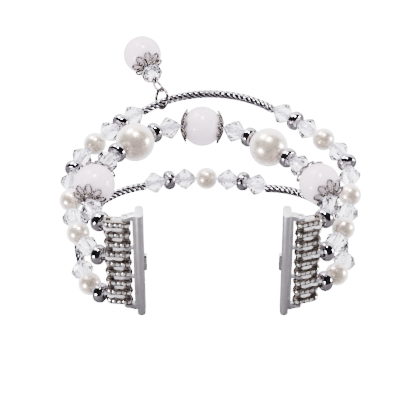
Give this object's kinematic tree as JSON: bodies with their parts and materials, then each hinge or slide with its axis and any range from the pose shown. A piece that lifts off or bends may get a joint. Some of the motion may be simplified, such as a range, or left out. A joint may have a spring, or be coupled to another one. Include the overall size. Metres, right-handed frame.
{
  "type": "beaded watch band",
  "caption": "Elastic beaded bracelet band with strands of crystals, pearls, milky capped balls and twisted tubes between jewelled link stacks on metal slide-in adapters.",
  "frame": {"origin": "middle of the bounding box at the level of the surface that the band stands on when it lies on its side", "axes": "+Z along the wrist axis and the stacks of links, +Y from the case towards the back of the wrist, +X to the right seen from the case side"},
  "size_m": [0.076, 0.0812, 0.0332],
  "materials": {
    "adapter_metal": "polished",
    "antique_metal": "antique silver, dark in its recesses",
    "spacer_metal": "dark satin",
    "rod_steel": "bright drawn steel",
    "rondelle_metal": "bright plated",
    "tube_metal": "bright plated, with dark spiral grooves",
    "wire_metal": "bright plated wire",
    "crystal_glass": "cut and polished, clear with a violet tint",
    "rhinestone_glass": "cut and polished, foil backed",
    "milky_stone": "polished, milky",
    "pearl_coat": "pearl lustre",
    "elastic_cord": "clear elastic",
    "latch_steel": "satin",
    "spring_steel": "spring steel"
  },
  "bodies": {
    "strands": {"outer_rod_left": "rod_steel", "outer_rod_right": "rod_steel", "crystals_top": "crystal_glass", "rondelles_top": "rondelle_metal", "elastic_top": "elastic_cord", "crystals_middle": "crystal_glass", "rondelles_middle": "rondelle_metal", "tube_middle": "tube_metal", "elastic_middle": "elastic_cord", "crystals_bottom": "crystal_glass", "rondelles_bottom": "rondelle_metal", "tube_bottom_left": "tube_metal", "tube_bottom_right": "tube_metal", "elastic_bottom": "elastic_cord"},
    "stack_left": {"links_left": "antique_metal", "rhinestones_left": "rhinestone_glass", "spacers_left": "spacer_metal"},
    "adapter_left": {"adapter_left": "adapter_metal", "inner_bar_left": "rod_steel", "latch_spring_left": "spring_steel"},
    "latch_button_left": {"latch_button_left": "latch_steel"},
    "stack_right": {"links_right": "antique_metal", "rhinestones_right": "rhinestone_glass", "spacers_right": "spacer_metal"},
    "adapter_right": {"adapter_right": "adapter_metal", "inner_bar_right": "rod_steel", "latch_spring_right": "spring_steel"},
    "latch_button_right": {"latch_button_right": "latch_steel"},
    "big_pearl_left": {"big_pearl_left": "pearl_coat"},
    "big_pearl_right": {"big_pearl_right": "pearl_coat"},
    "jade_left": {"jade_left": "milky_stone", "caps_left": "antique_metal"},
    "jade_back": {"jade_back": "milky_stone", "caps_back": "antique_metal"},
    "jade_right": {"jade_right": "milky_stone", "caps_right": "antique_metal"},
    "pearl_middle_1": {"pearl_middle_1": "pearl_coat"},
    "pearl_middle_2": {"pearl_middle_2": "pearl_coat"},
    "pearl_middle_3": {"pearl_middle_3": "pearl_coat"},
    "pearl_middle_4": {"pearl_middle_4": "pearl_coat"},
    "pearl_middle_5": {"pearl_middle_5": "pearl_coat"},
    "pearl_middle_6": {"pearl_middle_6": "pearl_coat"},
    "pearl_bottom_1": {"pearl_bottom_1": "pearl_coat"},
    "pearl_bottom_2": {"pearl_bottom_2": "pearl_coat"},
    "pearl_bottom_3": {"pearl_bottom_3": "pearl_coat"},
    "jump_ring": {"jump_ring": "wire_metal"},
    "charm_pin": {"charm_pin": "wire_metal"},
    "charm_crystal": {"charm_crystal": "crystal_glass"},
    "charm_ball": {"charm_ball": "milky_stone", "charm_cap": "antique_metal"}
  },
  "joints": [
    {"name": "stack_hinge_left", "type": "hinge", "parent": "strands", "child": "stack_left", "pos_m": [-0.02456, -0.03803, 0.016], "axis": [0, 0, 1], "range_deg": [-35, 35]},
    {"name": "adapter_hinge_left", "type": "hinge", "parent": "stack_left", "child": "adapter_left", "pos_m": [-0.02047, -0.03839, 0.016], "axis": [0, 0, 1], "range_deg": [-40, 40]},
    {"name": "latch_left", "type": "slide", "parent": "adapter_left", "child": "latch_button_left", "axis": [-1, 0, 0], "range_m": [0, 0.0006], "stiffness_N_per_m": 300, "springref_m": -0.0003},
    {"name": "stack_hinge_right", "type": "hinge", "parent": "strands", "child": "stack_right", "pos_m": [0.02543, -0.03712, 0.016], "axis": [0, 0, 1], "range_deg": [-35, 35]},
    {"name": "adapter_hinge_right", "type": "hinge", "parent": "stack_right", "child": "adapter_right", "pos_m": [0.02153, -0.03839, 0.016], "axis": [0, 0, 1], "range_deg": [-40, 40]},
    {"name": "latch_right", "type": "slide", "parent": "adapter_right", "child": "latch_button_right", "axis": [1, 0, 0], "range_m": [0, 0.0006], "stiffness_N_per_m": 300, "springref_m": -0.0003},
    {"name": "big_pearl_left_spin", "type": "hinge", "parent": "strands", "child": "big_pearl_left", "pos_m": [-0.01913, -0.0067, 0.0284], "axis": [0.6981, 0.7132, -0.0625], "continuous": true},
    {"name": "big_pearl_right_spin", "type": "hinge", "parent": "strands", "child": "big_pearl_right", "pos_m": [0.01471, -0.00715, 0.02708], "axis": [0.7296, -0.6837, 0.0183], "continuous": true},
    {"name": "jade_left_spin", "type": "hinge", "parent": "strands", "child": "jade_left", "pos_m": [-0.02863, -0.0235, 0.0282], "axis": [0.2392, 0.9621, 0.1306], "continuous": true},
    {"name": "jade_back_spin", "type": "hinge", "parent": "strands", "child": "jade_back", "pos_m": [-0.0022, 0.00132, 0.0274], "axis": [0.9988, -0.024, -0.0422], "continuous": true},
    {"name": "jade_right_spin", "type": "hinge", "parent": "strands", "child": "jade_right", "pos_m": [0.02688, -0.02252, 0.02759], "axis": [0.4744, -0.8803, 0.0068], "continuous": true},
    {"name": "pearl_middle_1_spin", "type": "hinge", "parent": "strands", "child": "pearl_middle_1", "pos_m": [-0.03283, -0.02882, 0.01703], "axis": [-0.2936, 0.9558, -0.0161], "continuous": true},
    {"name": "pearl_middle_2_spin", "type": "hinge", "parent": "strands", "child": "pearl_middle_2", "pos_m": [-0.03532, -0.0174, 0.01811], "axis": [-0.1098, 0.9734, 0.2012], "continuous": true},
    {"name": "pearl_middle_3_spin", "type": "hinge", "parent": "strands", "child": "pearl_middle_3", "pos_m": [-0.03005, 0.00143, 0.02161], "axis": [0.5791, 0.8104, 0.0882], "continuous": true},
    {"name": "pearl_middle_4_spin", "type": "hinge", "parent": "strands", "child": "pearl_middle_4", "pos_m": [0.02936, 0.00249, 0.02227], "axis": [0.6782, -0.7336, -0.0441], "continuous": true},
    {"name": "pearl_middle_5_spin", "type": "hinge", "parent": "strands", "child": "pearl_middle_5", "pos_m": [0.03521, -0.01574, 0.01853], "axis": [-0.122, -0.9652, -0.2314], "continuous": true},
    {"name": "pearl_middle_6_spin", "type": "hinge", "parent": "strands", "child": "pearl_middle_6", "pos_m": [0.03296, -0.02719, 0.01716], "axis": [-0.2374, -0.9714, -0.0017], "continuous": true},
    {"name": "pearl_bottom_1_spin", "type": "hinge", "parent": "strands", "child": "pearl_bottom_1", "pos_m": [-0.0302, -0.03398, 0.00478], "axis": [-0.4066, 0.9103, -0.0772], "continuous": true},
    {"name": "pearl_bottom_2_spin", "type": "hinge", "parent": "strands", "child": "pearl_bottom_2", "pos_m": [-0.00108, 0.01036, 0.00295], "axis": [0.9997, -0.0245, 0.0071], "continuous": true},
    {"name": "pearl_bottom_3_spin", "type": "hinge", "parent": "strands", "child": "pearl_bottom_3", "pos_m": [0.03141, -0.03329, 0.0074], "axis": [-0.5017, -0.8488, 0.167], "continuous": true},
    {"name": "jump_ring_swing", "type": "hinge", "parent": "strands", "child": "jump_ring", "pos_m": [-0.01278, 0.01791, 0.02296], "axis": [0.8862, 0.4624, 0.0291], "range_deg": [-95, 95]},
    {"name": "charm_swing", "type": "hinge", "parent": "jump_ring", "child": "charm_pin", "pos_m": [-0.01351, 0.02082, 0.02495], "axis": [0.5623, -0.365, 0.742], "range_deg": [-40, 40]},
    {"name": "charm_crystal_spin", "type": "hinge", "parent": "charm_pin", "child": "charm_crystal", "pos_m": [-0.01575, 0.02712, 0.02559], "axis": [-0.3334, 0.938, 0.0951], "continuous": true},
    {"name": "charm_ball_spin", "type": "hinge", "parent": "charm_pin", "child": "charm_ball", "pos_m": [-0.01857, 0.03506, 0.02639], "axis": [-0.3334, 0.938, 0.0951], "continuous": true}
  ]
}
